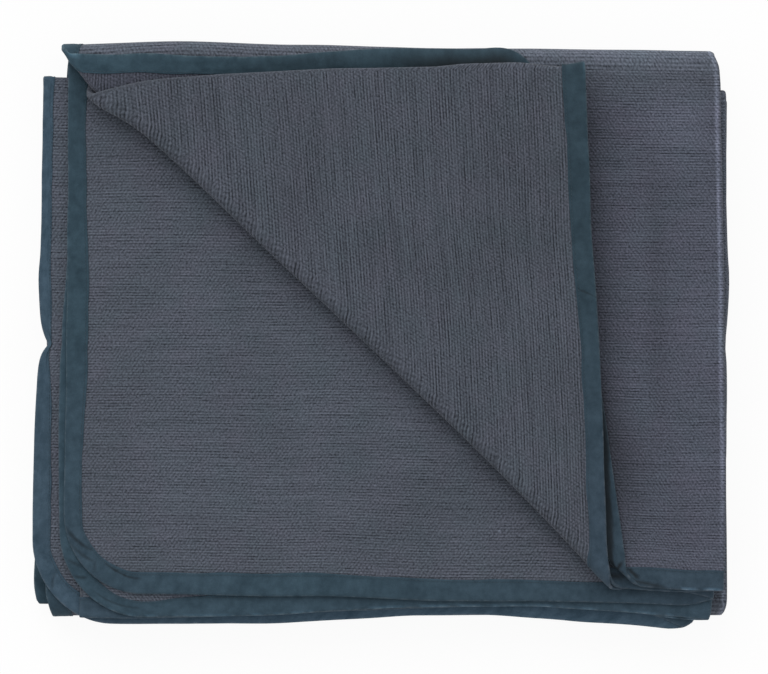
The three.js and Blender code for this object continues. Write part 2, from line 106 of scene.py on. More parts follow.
# where the edges and side folds lie, down the length of the cloth
sideColumns = ("at", "edgeOne", "backFold", "edgeFour", "foldOneTwo", "foldThreeFour")
sideRows = [
    (0, -221, -209, -231.5, 245.8, 239),
    (20, -222, -209.5, -231.2, 246.3, 239.8),
    (50, -223.3, -211.7, -230.8, 247.3, 240.8),
    (75, -223.1, -212.9, -230.4, 248, 241.7),
    (100, -224.4, -213.9, -230, 248, 242.5),
    (150, -226.1, -214.6, -229.2, 247.5, 244),
    (190, -225.9, -214.7, -228.5, 247, 245),
    (230, -225, -213.1, -228.3, 246.5, 245),
    (290, -226.3, -210.3, -228, 245.5, 244.5),
    (340, -231.6, -209.7, -228, 244.5, 244),
    (outerFold, -235, -206, -227.5, 243, 242),
    (outerFold + quarterBend, -232, -202, -227.5, 238.5, 238),
    (bottomLeaf, -229, -197, -229, 243, 242),
    (bottomLeaf + 190, -241.5, -194, -241.5, 247, 247),
    (nearFold, -245, -194, -254.7, 250, 249.6),
    (secondLeaf, -245, -194, -254.7, 250, 249.6),
    (secondLeaf + 190, -241.5, -194, -241.5, 249.4, 248.9),
    (innerFold, -246.4, -196, -228, 249.5, 248.7),
    *rowsFrom(thirdLeaf, [
        (0, -246.4, -198, -226, 249.5, 248.7), (80, -247, -202, -226.5, 249.6, 248.8),
        (118, -248.3, -204, -228, 250.3, 249.5), (136, -249.9, -205, -229.5, 251.2, 250),
        (160, -249.8, -206, -231.5, 250.8, 249.8), (205, -250.8, -208, -234, 249.6, 248.8),
        (230, -251.8, -210, -234.6, 249.5, 248.7), (270, -252.8, -213, -234.4, 249.2, 248.4),
        (310, -253.6, -216, -234.3, 244, 246.5)]),
    (flatLength - 14, -254, -217, -233, 227, 238),
    (flatLength - 5, -254, -217, -232.8, 224.5, 237),
    (flatLength, -254, -217, -232.8, 218, 235.5),
]
# how far each panel's free end stands from its leaf's foot, across the pack
footColumns = ("at", "topOne", "topPair", "topFour", "thirdOne", "thirdPair", "thirdFour")
footRows = [
    (-240, 22, 7, 3.2, -2.4, 2, 4.5),
    (-170, 20.5, 8.6, 2.9, -3.2, 1.2, 2.2),
    (-95, 17.5, 9.8, 1.6, -3, 3, 3.2),
    (-40, 14.4, 9.2, 1.2, -1, 5.5, 5.8),
    (25, 9.5, 9.8, -1.4, 3.2, 8.5, 9.3),
    (80, 5.4, 11.4, -2.2, 2.7, 9.9, 9.8),
    (110, 3.8, 11.4, -2.4, 1, 10, 9.6),
    (140, 3, 10.8, -3, -1, 9.2, 7.9),
    (170, 3, 8, -3.6, -3, 7, 6),
    (210, 3.2, 5, -5, -7.2, 1.3, 2.7),
    (240, 5, 5, -6, -11.5, -2, 1.5),
]
# how far the two far folds stand from their nominal place, across the pack
headColumns = ("at", "outer", "inner")
headRows = [
    (-240, 1.8, 7), (-150, 4.5, 5), (-95, 3, 3), (25, 0, -3), (110, -1, -7), (240, -2.6, -12),
]
nearNip = {"edges": ((5.2, 9.0), (5.0, 15.0)), "folds": 2.6, "foldsReach": 5.5}
flapLifts = [(9.0, 14.0, 120.0), (6.0, 120.0, 255.0)]  # how high, and between where past the crease


def ramp(value, start, end):
    return np.clip((value - start) / (end - start), 0, 1)


def softRamp(value, start, end):
    share = ramp(value, start, end)
    return share * share * (3 - 2 * share)


def bell(distance, reach):
    return np.exp(-((distance / reach) ** 2))


def readTable(rows, columns, column, at):  # a smooth curve through one column
    table = np.array(rows, float)
    places, values = table[:, 0], table[:, columns.index(column)]
    at = np.clip(at, places[0], places[-1])
    high = np.clip(np.searchsorted(places, at), 1, len(places) - 1)
    low = high - 1
    before, after = np.maximum(low - 1, 0), np.minimum(high + 1, len(places) - 1)
    span = places[high] - places[low]
    share = (at - places[low]) / span
    slopeIn = (values[high] - values[before]) / (places[high] - places[before]) * span
    slopeOut = (values[after] - values[low]) / (places[after] - places[low]) * span
    square, cube = share ** 2, share ** 3
    return ((2 * cube - 3 * square + 1) * values[low] + (cube - 2 * square + share) * slopeIn
            + (3 * square - 2 * cube) * values[high] + (cube - square) * slopeOut)


def softNoise(x, y, seed):  # smooth noise from -1 to 1, with bumps about one unit apart
    cellX, cellY = np.floor(x).astype(int), np.floor(y).astype(int)
    shareX, shareY = x - cellX, y - cellY
    shareX, shareY = shareX ** 2 * (3 - 2 * shareX), shareY ** 2 * (3 - 2 * shareY)

    def corner(i, j):
        value = np.sin((cellX + i) * 127.1 + (cellY + j) * 311.7 + seed * 74.7) * 43758.5453
        return 2 * (value - np.floor(value)) - 1

    low = corner(0, 0) * (1 - shareX) + corner(1, 0) * shareX
    high = corner(0, 1) * (1 - shareX) + corner(1, 1) * shareX
    return low * (1 - shareY) + high * shareY


def levelPlace(v):  # y where the cloth's length v lies, with no thickness
    return np.select([v < bottomLeaf, v < secondLeaf, v < thirdLeaf], [
        np.minimum(topFoot + v, outerHead),
        np.maximum(outerHead - (v - bottomLeaf), nearFoot),
        np.minimum(nearFoot + v - secondLeaf, innerHead),
    ], innerHead - (v - thirdLeaf))


def panelShares(u):  # of the first panel, the pair in the middle, and the last
    one = 1 - softRamp(u, panels["one"] - firstBlend, panelTwo + footBlend)
    four = softRamp(u, panelThreeEnd - footBlend, panelFour + footBlend)
    return {"One": one, "Pair": 1 - one - four, "Four": four}


def inCorner(u, v):  # only the three upper layers of the top leaf turn over
    return (v <= bottomLeaf) & (u <= panelThreeEnd)


def foldAcross(u, v, w):
    drawn = softRamp(v, bottomLeaf, bottomLeaf + notch["fadeIn"])
    off = levelPlace(v) - notch["y"]
    fall = np.where(off > 0, notch["above"], notch["below"])
    drawn = drawn * np.exp(-(np.hypot(off, notch["round"]) - notch["round"]) / fall)
    side = {name: readTable(sideRows, sideColumns, name, v) for name in sideColumns[1:]}
    fromNear = v - (nearFold + secondLeaf) / 2
    nip = nearNip["folds"] * bell(fromNear, nearNip["foldsReach"])
    for name in ("foldOneTwo", "foldThreeFour"):
        side[name] = side[name] - notch["right"] * drawn - nip
    for name, (by, reach), pulled in zip(("edgeOne", "edgeFour"), nearNip["edges"], notch["left"]):
        side[name] = side[name] + by * bell(fromNear, reach) + pulled * drawn
    places = [side[name] for name in ("edgeOne", "foldOneTwo", "backFold", "foldThreeFour", "edgeFour")]
    zones, across, up, start = [], [], [], 0
    for i, width in enumerate(panels.values()):  # each panel, and the bend to the next
        way, end = 1 - 2 * (i % 2), start + width
        turn = (u - end) / sideRadius
        zones += [u <= end, u < end + sideBend]
        across += [places[i] + (places[i + 1] - places[i]) * (u - start) / width,
                   places[i + 1] + way * (sideRadius + way * w) * np.sin(turn)]
        up += [(3 - 2 * i) * sideRadius + way * w,
               (2 - 2 * i) * sideRadius + (sideRadius + way * w) * np.cos(turn)]
        start = end + sideBend
    return np.select(zones, across), np.select(zones, up)


def shiftFeet(u, v, x):  # moves the free ends of the top and third leaves, panel by panel
    def foot(leaf):
        return sum(share * readTable(footRows, footColumns, leaf + panel, x)
                   for panel, share in panelShares(u).items())

    top = foot("top") * (1 - np.minimum(v / footFade, 1)) ** 2
    third = foot("third") * (1 - np.minimum((flatLength - v) / footFade, 1)) ** 2
    return v + top - third


def pastCrease(x, along):
    return (x - creaseX) * acrossX + (along + topFoot - creaseY) * acrossY


def turnCorner(x, along, height, shareOne):
    past = pastCrease(x, along)
    angle = np.clip(past / rollRadius, 0, math.pi)
    radius = rollTop - height
    moved = radius * np.sin(angle) - np.maximum(past - rollBend, 0) - past
    lift = sum(rise * softRamp(past, start, end) for rise, start, end in flapLifts) * (1 - shareOne)
    turned = (x + moved * acrossX, along + moved * acrossY, rollTop - radius * np.cos(angle) + lift)
    return [np.where(past > 0, new, old) for new, old in zip(turned, (x, along, height))]


def easeCorner(x, along, shareOne):  # bows the roll, and pulls panel one in near its end
    y = along + topFoot
    share = ((x - creaseX) * alongX + (y - creaseY) * alongY) / bow["length"]
    share = np.clip(share, 0, 1)
    fade = np.cos(math.pi / 2 * np.clip(pastCrease(x, along) / bow["reach"], -1, 1)) ** 2

    def near(share, by, endX, endY, reach):
        return share * by * bell(np.hypot(x - endX, y - endY), reach)

    pull = near(shareOne, *pulledEnd) - near(1, *tuckedEnd)
    rise = bow["rise"] * (1 - np.abs(2 * share - 1) ** 3) * fade + pull
    return x - rise * acrossX, along - rise * acrossY


def foldAlong(along, height):  # the four leaves, each folded under the one before
    past = along - outerFold
    angle = (np.clip(past, 0, quarterBend) + np.maximum(past - quarterBend - outerRise, 0)) / shoulder
    upper = angle <= math.pi / 2
    centre = np.where(upper, topLevel - shoulder, bottomLevel + shoulder)
    drop = np.where(upper, np.clip(past - quarterBend, 0, outerRise), 0)
    bendRadius = groupThickness / 2
    nearAngle = (along - nearFold) / bendRadius
    innerAngle = (along - innerFold) / bendRadius
    outer, near, inner = shoulder + height, bendRadius + height, bendRadius - height
    ends, y, z = zip(
        (outerFold, topFoot + along, topLevel + height),
        (bottomLeaf, outerHead + outer * np.sin(angle), centre - drop + outer * np.cos(angle)),
        (nearFold, outerHead - (along - bottomLeaf), bottomLevel - height),
        (secondLeaf, nearFoot - near * np.sin(nearAngle),
         bottomLevel + bendRadius - near * np.cos(nearAngle)),
        (innerFold, nearFoot + along - secondLeaf, secondLevel + height),
        (thirdLeaf, innerHead + inner * np.sin(innerAngle),
         secondLevel + bendRadius - inner * np.cos(innerAngle)))
    zones = [along < end for end in ends]
    return np.select(zones, y, innerHead - (along - thirdLeaf)), np.select(zones, z, thirdLevel - height)


def beforeLeaves(u, v, w):
    x, height = foldAcross(u, v, w)
    liftAlong = np.where(v < bottomLeaf, ramp(v, outerFold, bottomLeaf), 1 - ramp(v, nearFold, secondLeaf))
    height = height - tapeLift["rise"] * liftAlong * (1 - ramp(u, tapeLift["from"], tapeLift["to"]))
    along = shiftFeet(u, v, x)
    shareOne = panelShares(u)["One"]
    turnedX, turnedAlong, turnedHeight = turnCorner(x, along, height, shareOne)
    turned = *easeCorner(turnedX, turnedAlong, shareOne), turnedHeight
    return [np.where(inCorner(u, v), new, old) for new, old in zip(turned, (x, along, height))]


# slow waves that all the layers share, so that none of them meet
waves = [(120.0, 1.1, 0, 3), (45.0, 0.35, 7, 5)]  # length, rise, start, seed
sag = 0.4
sway = {"by": 0.5, "length": 38, "layer": 9}  # sideways, and the length of its waves, along and up


def settle(x, y, z):
    level = np.clip(z / topLevel, 0, 1.3)
    rise = sum(high * softNoise(x / length + start, y / length, seed) for length, high, start, seed in waves)
    sideX, sideY = (sway["by"] * softNoise(at / sway["length"], z / sway["layer"], seed)
                    for at, seed in ((y, 11), (x, 12)))
    return x + sideX, y + sideY, z + (rise - sag) * level


def fold(u, v, w):  # the finished place of a point of the cloth, in metres
    u, v, w = np.broadcast_arrays(np.asarray(u, float), np.asarray(v, float), np.asarray(w, float))
    x, along, height = beforeLeaves(u, v, w)
    y, z = foldAlong(along, height)
    outer, inner = (readTable(headRows, headColumns, name, x) for name in headColumns[1:])
    y = y + np.where(v < secondLeaf, outer, inner) * softRamp(y, *headRamp)
    x, y, z = settle(x, y, z)
    return np.stack([x - packMiddle[0], y - packMiddle[1], z], axis=-1) * metre


def addObject(name, data):
    made = bpy.data.objects.new(name, data)
    bpy.context.scene.collection.objects.link(made)
    return made


def meshObject(name, points, faces, flat=None):  # a mesh, with its flat place as its UV map
    mesh = bpy.data.meshes.new(name)
    mesh.from_pydata(points.tolist(), [], faces)
    if flat is not None:
        layer = mesh.uv_layers.new(name="flatCloth")
        corners = np.empty(len(mesh.loops), int)
        mesh.loops.foreach_get("vertex_index", corners)
        layer.data.foreach_set("uv", (np.asarray(flat)[corners] * metre).ravel())
    mesh.polygons.foreach_set("use_smooth", [True] * len(mesh.polygons))
    mesh.validate()
    return addObject(name, mesh)


cloth = {
    "step": 9.5,  # between the lines of the flat panels
    "riseStep": 6,  # and up the outer fold
    "sideSteps": 6, "shoulderSteps": 7, "innerSteps": 9, "rollSteps": 9,
    "edgeGap": 1.6,  # from the tape's fold to the cloth's raw edge
}


def spaced(start, end, step):  # places from start to end, with the first left out
    count = max(1, round((end - start) / step))
    return list(start + (end - start) * (np.arange(count) + 1) / count)


def linesThrough(spans):  # even lines up to each end in turn
    lines, start = [0.0], 0
    for end, step in spans:
        lines += spaced(start, end, step)
        start = end
    return np.array(lines)


def linesAcross():
    step, bend = cloth["step"], sideBend / cloth["sideSteps"]
    return linesThrough([(panels["one"], step), (panelTwo, bend), (panelTwoEnd, step), (panelThree, bend),
                         (panelThreeEnd, step), (panelFour, bend), (flatWidth, step)])


def linesAlong():
    step, riseStep = cloth["step"], cloth["riseStep"]
    corner, inner = quarterBend / cloth["shoulderSteps"], innerBend / cloth["innerSteps"]
    return linesThrough([
        (outerFold, step), (outerFold + quarterBend, corner), (bottomLeaf - quarterBend, riseStep),
        (bottomLeaf, corner), (nearFold, step), (secondLeaf, inner), (innerFold, step), (thirdLeaf, inner),
        (flatLength, step)])


def roundCorners(u, v, inset):
    side, end = np.where(u < flatWidth / 2, 1, -1), np.where(v < flatLength / 2, 1, -1)
    edgeU, edgeV = np.where(side > 0, 0, flatWidth), np.where(end > 0, 0, flatLength)
    keep = 1 - inset / cornerRadius
    a = np.maximum(0, 1 - np.abs(u - edgeU) / cornerRadius) * keep
    b = np.maximum(0, 1 - np.abs(v - edgeV) / cornerRadius) * keep
    both = (a > 0) & (b > 0)
    pull = np.where(both, np.maximum(a, b) / np.maximum(np.hypot(a, b), 1e-9), 1)
    return (np.where(a > 0, edgeU + side * cornerRadius * (1 - a * pull), u),
            np.where(b > 0, edgeV + end * cornerRadius * (1 - b * pull), v))


def makeFlatCloth():  # a grid of the flat cloth, cut where the turned corner bends
    across, along = linesAcross(), linesAlong()
    gridU, gridV = np.meshgrid(across, along)
    atEdge = (gridU == 0) | (gridU == flatWidth) | (gridV == 0) | (gridV == flatLength)
    flatU, flatV = roundCorners(gridU, gridV, np.where(atEdge, cloth["edgeGap"], 0))
    x, height = foldAcross(flatU, flatV, 0)
    group = np.stack([x, shiftFeet(flatU, flatV, x), height], axis=-1).reshape(-1, 3)
    columns = len(across)
    sheet = bmesh.new()
    layerU, layerV = sheet.verts.layers.float.new("flatU"), sheet.verts.layers.float.new("flatV")
    verts = [sheet.verts.new(p) for p in group]
    for vert, u, v in zip(verts, flatU.ravel(), flatV.ravel()):
        vert[layerU], vert[layerV] = u, v
    for row in range(len(along) - 1):
        for column in range(columns - 1):
            at = row * columns + column
            corners = [at, at + 1, at + 1 + columns, at + columns]
            if (across[column] < flatWidth / 2) != (along[row] < flatLength / 2):
                corners = corners[1:] + corners[:1]
            sheet.faces.new([verts[i] for i in corners])
    for past in [0.0] + spaced(0, rollBend, rollBend / cloth["rollSteps"]):
        faces = [face for face in sheet.faces if all(
            vert[layerU] < panelThreeEnd + 0.01 and vert[layerV] < bottomLeaf + 0.01
            for vert in face.verts)]
        parts = {item for face in faces for item in [*face.verts, *face.edges]} | set(faces)
        point = (creaseX + past * acrossX, creaseY - topFoot + past * acrossY, 0)
        bmesh.ops.bisect_plane(sheet, geom=list(parts), dist=0.02, plane_co=point,
                               plane_no=(acrossX, acrossY, 0))
    bmesh.ops.triangulate(sheet, faces=sheet.faces[:])
    sheet.verts.index_update()
    flat = np.array([(vert[layerU], vert[layerV]) for vert in sheet.verts])
    triangles = np.array([[vert.index for vert in face.verts] for face in sheet.faces])
    rim = [(loop.vert.index, loop.link_loop_next.vert.index)
           for edge in sheet.edges if len(edge.link_loops) == 1 for loop in edge.link_loops]
    sheet.free()
    return flat, triangles, rim


def makeCloth():
    flat, triangles, rim = makeFlatCloth()
    half, count = sizes["clothThickness"] / 2, len(flat)
    points = np.concatenate([fold(*flat.T, half), fold(*flat.T, -half)])
    faces = [tuple(t) for t in triangles] + [tuple(t[::-1] + count) for t in triangles]
    faces += [(b, a, a + count, b + count) for a, b in rim]
    return meshObject("clothSheet", points, faces, np.concatenate([flat, flat]))


clothSheet = makeCloth()
print("cloth made:", len(clothSheet.data.polygons), "faces")

tape = {
    "step": 4.2,  # between its sections
    "steps": {  # where they are closer, and how far beyond
        "roll": (1, 14), "side": (0.8, 3), "crease": (1.1, 4), "fold": (1.8, 5), "notch": (1.8, 22)},
    "scan": 0.5,  # between the places looked at for this
    "creaseWidth": 1.6,
    "stitchLine": 13.4,  # from the tape's fold
    "stitchedReach": 1.16,  # where the stitches pull it down
    "pucker": 0.22, "puckerLength": 9.0, "edgeWander": 0.55,
    "foldDepth": 2.6, "nose": 1.3,  # where the round of its fold starts, and its radius
}


straightU, straightV = flatWidth - 2 * cornerRadius, flatLength - 2 * cornerRadius
cornerArc = math.pi / 2 * cornerRadius
outlineLength = 2 * (flatWidth + flatLength - 4 * cornerRadius) + 2 * math.pi * cornerRadius


def onFoot(u):  # the station of a place on each side of the outline
    return u - cornerRadius


def onFour(v):
    return straightU + cornerArc + v - cornerRadius


def onEnd(u):
    return 2 * straightU + straightV + 2 * cornerArc + cornerRadius - u


def onOne(v):
    return 2 * (straightU + straightV) + 3 * cornerArc + cornerRadius - v


def outlineAt(s):  # u and v of a place on the flat outline, and the way in, s along from a corner's end
    near, farU, farV = cornerRadius, flatWidth - cornerRadius, flatLength - cornerRadius
    runs = [  # length, start or turn centre, direction
        (straightU, (near, 0), (1, 0)), (cornerArc, (farU, near), None),
        (straightV, (flatWidth, near), (0, 1)), (cornerArc, (farU, farV), None),
        (straightU, (farU, flatLength), (-1, 0)), (cornerArc, (near, farV), None),
        (straightV, (0, farV), (0, -1)), (cornerArc, (near, near), None),
    ]
    s = np.asarray(s, float) % sum(run[0] for run in runs)
    found, start, heading = [np.zeros_like(s)] * 4, 0.0, -math.pi / 2
    for length, place, direction in runs:
        past = s - start
        if direction:
            alongU, alongV = direction
            here = (place[0] + alongU * past, place[1] + alongV * past, -alongV, alongU)
        else:
            outU, outV = np.cos(heading + past / cornerRadius), np.sin(heading + past / cornerRadius)
            here = (place[0] + cornerRadius * outU, place[1] + cornerRadius * outV, -outU, -outV)
            heading += math.pi / 2
        inside = (s >= start) & (s < start + length)
        found = [np.where(inside, new, old) for new, old in zip(here, found)]
        start += length
    return found


def within(value, start, end, spare):
    return (value > start - spare) & (value < end + spare)


def tapeStations():  # closer together where the tape crosses a fold or the rolled corner
    steps, spare = zip(*tape["steps"].values())
    fine = np.arange(0, outlineLength, tape["scan"])
    u, v, _, _ = outlineAt(fine)
    x, _ = foldAcross(u, v, 0)
    past = pastCrease(x, shiftFeet(u, v, x))
    onRoll = inCorner(u, v) & within(past, 0, rollBend, spare[0])
    onSide = np.any([within(u, start, start + sideBend, spare[1])
                     for start in (panels["one"], panelTwoEnd, panelThreeEnd)], axis=0)
    onSide &= (v < 1) | (v > flatLength - 1)
    onCrease = np.any([within(fine, min(fromS, toS), max(fromS, toS), spare[2])
                       for fromS, _, toS, *_ in creases], axis=0)
    onFold = np.any([within(v, start, end, spare[3]) for start, end in
                     ((outerFold, bottomLeaf), (nearFold, secondLeaf), (innerFold, thirdLeaf))], axis=0)
    onNotch = (np.abs(levelPlace(v) - notch["y"]) < spare[4]) & (v > thirdLeaf) & (u < 1)
    need = 1 / np.select([onRoll, onSide, onCrease, onFold, onNotch], steps, tape["step"])
    total = np.concatenate([[0], np.cumsum(need * tape["scan"])])
    count = int(total[-1])
    return np.interp(np.arange(count) * total[-1] / count, total, np.append(fine, outlineLength))


# how wide the hand-turned tape shows, and its tone, on the cloth's inner (-1) and outer (1) face; the darker
# tones on the strip under the flap's fold are painted shade
tapeColumns = ("at", "width", "tone")
tapeRows = {
    -1: [
        (0, 14, 0.92), (onFoot(480), 14, 0.95),
        *rowsFrom(panelThree, [
            (-20, 18.2, 0.78), (60, 17, 0.8), (160, 15, 0.84), (320, 14.6, 1.05)], onFoot),
        (onFoot(panelThreeEnd), 14.5, 1.08),
        *rowsFrom(panelFour, [(170, 15.4, 1.0), (240, 16.4, 1.04), (400, 16.4, 1.08)], onFoot),
        *rowsFrom(0, [
            (48, 13.8, 1.1), (70, 13, 1.1), (92, 13.3, 1.1), (121, 13.8, 1.06), (143, 14.5, 1.04),
            (179, 16, 1.02), (225, 15.7, 1.0), (300, 14.3, 0.98), (370, 14.3, 0.9),
            (bottomLeaf, 15, 1)], onFour),
        *rowsFrom(0, [(panelTwo, 15, 1.2), (480, 14.5, 1.75), (200, 14.5, 1.9), (70, 14.5, 1.7)], onEnd),
        (onOne(flatLength - 50), 13, 1.4),
        *rowsFrom(thirdLeaf, [
            (330, 13.6, 1.38), (265, 12.3, 1.4), (230, 11, 1.42), (212, 9.8, 1.45), (201, 8.6, 1.5),
            (192, 6, 1.5), (185.5, 3.3, 1.5), (179, 5.6, 1.5), (168, 7.9, 1.5), (155, 9, 1.5),
            (139, 9, 1.52), (115, 7.7, 1.55), (40, 7.7, 1.55), (0, 8.6, 1.5), (-60, 11, 1.2)], onOne),
        *rowsFrom(0, [
            (440, 15, 1), (375, 9.6, 1.12), (345, 11, 1.05), (310, 12.8, 0.97), (280, 12.8, 0.97),
            (245, 12.8, 0.82), (200, 12.8, 0.78), (150, 12.8, 0.82), (110, 13, 0.74),
            (50, 13, 0.68)], onOne),
        (outlineLength, 14, 0.92),
    ],
    1: [
        (0, 15, 1), (onFoot(300), 15, 1.02), (onFoot(460), 15, 1.0), (onFour(thirdLeaf), 15, 1.0),
        (onFour(thirdLeaf + 100), 15, 1.1), (onFour(flatLength - 70), 14.6, 1.15),
        *rowsFrom(flatWidth, [
            (-50, 12.2, 1.1), (-70, 12.2, 1.1), (-95, 15.4, 1.08), (-300, 15, 1.1)], onEnd),
        *rowsFrom(0, [(panelFour, 15, 1.15), (panelThree, 15, 1.2), (60, 15, 1.3)], onEnd),
        (onOne(thirdLeaf), 15, 1.0), (outlineLength, 15, 1),
    ],
}


shaded = {  # painted shade on the tape's inner face under the flap's edges
    "by": 0.74, "depth": (2.0, 9.0), "footRamp": 2.6,
    "foot": (303, 318, 341, 363, 389), "footDepth": (-1, 1.5, 3.6, 5, 8.5),
}

# creases in the eased tape: from one station and depth to another, half width, how deep, how dark (painted
# shade along the crease), the face
topCorner, thirdCorner, lastCorner = onFour(60), onOne(flatLength - 60), onFour(flatLength - 60)
creases = [
    (topCorner - 12, 0.8, topCorner - 36, 12.5, 2.4, 0.5, 0.55, -1),
    (topCorner - 26, 1.5, topCorner - 47, 8.5, 2.1, 0.4, 0.42, -1),
    (topCorner - 56, 12.4, topCorner - 92, 10.4, 1.3, 0.3, 0.6, -1),
    (topCorner - 46, 10.0, topCorner - 52, 3.5, 2.2, 0.3, 0.3, -1),
    (lastCorner + 20, 2.0, lastCorner + 31, 12.0, 2.2, 0.4, 0.42, 1),
    (lastCorner + 34, 1.0, lastCorner + 40, 9.0, 2.0, 0.4, 0.5, 1),
    (lastCorner + 52, 5.5, lastCorner + 92, 8.0, 1.4, 0.3, 0.35, 1),
    (thirdCorner - 40, 2.0, thirdCorner - 30, 11.0, 2.0, 0.3, 0.35, -1),
    (onFoot(1102), 14.2, onFoot(1109), 0.6, 1.1, 0.25, 0.4, -1),
    (onFoot(560), 9.0, onFoot(580), 8.0, 5.0, 0.0, 0.7, -1),
    (onFoot(399), 8.5, onFoot(411), 3.0, 2.0, 0.4, 0.5, -1),
    (onFoot(392), 2.0, onFoot(403), 12.5, 2.6, 0.5, 0.75, -1),
    (onFoot(399), 2.0, onFoot(409), 14.0, 2.8, 0.6, 0.8, 1),
    (onFoot(412), 14.5, onFoot(421), 5.5, 2.6, 0.5, 0.75, 1),
    (onFoot(412), 5.0, onFoot(442), 0.6, 2.4, 0.4, 0.62, 1),
]
greyed = [  # where the dye has gone greyer: a station, and how far
    (0, 0.3), (onFoot(390), 0.6), (onFoot(panelTwo), 0.75), (onFoot(panelTwoEnd - 60), 0.4),
    *rowsFrom(panelThree, [(-20, 0.05), (160, 0.15), (330, 0.85)], onFoot), (onFoot(panelThreeEnd), 0.8),
    (onFoot(panelFour + 100), 0.45), (onFoot(panelFour + 300), 0.15),
    *rowsFrom(0, [(40, 0.5), (140, 0.3), (200, 0.05), (flatLength - 60, 0.2)], onFour),
    (onEnd(1200), 0.6), (onEnd(60), 0.7),
    *rowsFrom(0, [(thirdLeaf, 0.6), (420, 0.0), (60, 0.0)], onOne), (outlineLength, 0.3),
]
# worn rims of the tape: from one station to another, and how pale
rims = [
    (onFoot(452), onFoot(488), 1.5), (lastCorner + 56, onEnd(1290), 0.7),
    (onOne(424), onOne(372), 0.8), (onFoot(panelTwoEnd - 6), onFoot(panelThree + 6), 0.5),
]


def creasedAt(s, depth, side):  # how deep the creases are at a place
    deep = np.zeros(len(s))
    for fromS, fromDepth, toS, toDepth, _, rise, _, face in creases:
        runS, runDepth = toS - fromS, toDepth - fromDepth
        share = ((s - fromS) * runS + (depth - fromDepth) * runDepth) / (runS ** 2 + runDepth ** 2)
        share = np.clip(share, 0, 1)
        apart = np.hypot(s - fromS - share * runS, depth - fromDepth - share * runDepth)
        deep = np.maximum(deep, rise * bell(apart, tape["creaseWidth"]) * (face == side))
    return deep


def tapeWidthAt(s, side):
    return readTable(tapeRows[side], tapeColumns, "width", np.mod(s, outlineLength))


def tapeReachAt(s, depth, side):  # how far the tape's outside stands from the middle of the cloth
    reach, low = sizes["tapeReach"], tape["stitchedReach"]
    fromStitch, inner = np.abs(depth - tape["stitchLine"]), depth < tape["stitchLine"]
    full = low + (reach - low) * softRamp(fromStitch, 0, 5.5)
    lip = np.where(depth > tape["stitchLine"], low + 0.05 * fromStitch, full)
    puckered = tape["pucker"] * softNoise(s / tape["puckerLength"], depth / 7 + side * 9, 21)
    puckered = puckered * softRamp(fromStitch, 0, 4) * inner
    return np.minimum(lip + puckered - 0.1 * inner, reach + 0.06)


def tapeToneAt(s, depth, side):  # how pale or dark the tape is: its tone, painted shade under the flap's edges, and worn rims
    tones = {face: readTable(tapeRows[face], tapeColumns, "tone", s) for face in (1, -1)}
    share = min(depth / 4, 1) / 2 * side  # the two faces' tones meet on the fold
    tone = tones[1] * (0.5 + share) + tones[-1] * (0.5 - share)
    # painted shade on the inner face, under the flap's fold and under its turned edge
    if side < 0:
        underFlapShade = softRamp(s, onOne(170), onOne(85))
        tone = tone * (1 - shaded["by"] * underFlapShade * softRamp(depth, *shaded["depth"]))
        underFlapShade = softRamp(s, onFoot(225), onFoot(285)) * softRamp(s, onFoot(440), onFoot(410))
        start = np.interp(s, [onFoot(at) for at in shaded["foot"]], shaded["footDepth"])
        tone = tone * (1 - shaded["by"] * underFlapShade * softRamp(depth - start, 0, shaded["footRamp"]))
    broken = softRamp(softNoise(s / 5.0, 0.0, 41), -0.5, 0.5)
    worn = sum(pale * broken * softRamp(s, start - 3, start + 3) * softRamp(s, end + 3, end - 3)
               for start, end, pale in rims)
    return tone * (1 + worn * (depth < 2))


def makeTape():
    s = tapeStations()
    width, thick, foldDepth = sizes["tapeWidth"], sizes["tapeThickness"], tape["foldDepth"]
    depths = [width, 14.3, tape["stitchLine"], 12.2, 10.6, 8.6, 6.5, 4.4, foldDepth]
    rounds = np.radians([72, 48, 24, 0, -24, -48, -72])
    ring = [(d, 1, 0) for d in depths]  # depth, share of the reach, and 1 on the inside
    ring += [(tape["nose"] * (1 - math.cos(a)), math.sin(a), 0) for a in rounds]
    ring += [(d, -1, 0) for d in depths[::-1]] + [(d, -1, 1) for d in (width, 8.6, foldDepth)]
    ring += [(thick + 0.1, 0, 1)] + [(d, 1, 1) for d in (foldDepth, 8.6, width)]
    u, v, inU, inV = outlineAt(s)
    shown = {side: (tapeWidthAt(s, side) - foldDepth) / (width - foldDepth) for side in (1, -1)}
    wander = tape["edgeWander"] * softNoise(s / 31, 0.0, 31) + 0.25 * softNoise(s / 11, 0.0, 33)
    columns, flat, tones = [], [], []
    for depth, rise, inner in ring:
        side = 1 if rise > 0 else -1
        reach = tapeReachAt(s, depth if inner or abs(rise) == 1 else foldDepth, side)
        w = (reach - thick * inner - creasedAt(s, depth, side) * 0.5) * rise
        lipWander = wander * (0.4 if depth < 8 else 1)
        ripple = 0.5 * softNoise(s / 17 + 5, side * 3.3, 35)
        deep = depth + np.where(depth > 10, ripple, 0)
        deep = np.where(depth > foldDepth, foldDepth + (deep - foldDepth) * shown[side], deep)
        d = np.maximum(deep - lipWander * (depth > 10) + np.where(depth < 3, 0.25 * wander, 0), 0)
        columns.append(fold(u + inU * d, v + inV * d, w))
        flat.append(np.stack([s, np.full(len(s), depth * side)], axis=-1))
        tones.append(tapeToneAt(s, depth, side))
    points = np.stack(columns, axis=1).reshape(-1, 3)
    count, size = len(s), len(ring)
    faces = [(at * size + j, at * size + k, after * size + k, after * size + j)
             for at, after in zip(range(count), [*range(1, count), 0])
             for j, k in zip(range(size), [*range(1, size), 0])]
    made = meshObject("bindingTape", points, faces, np.stack(flat, axis=1).reshape(-1, 2))
    for name, values in (("fade", tones), ("grey", [np.interp(s, *zip(*greyed))] * size)):
        layer = made.data.attributes.new(name, "FLOAT", "POINT")
        layer.data.foreach_set("value", np.stack(values, axis=1).ravel())
    return made


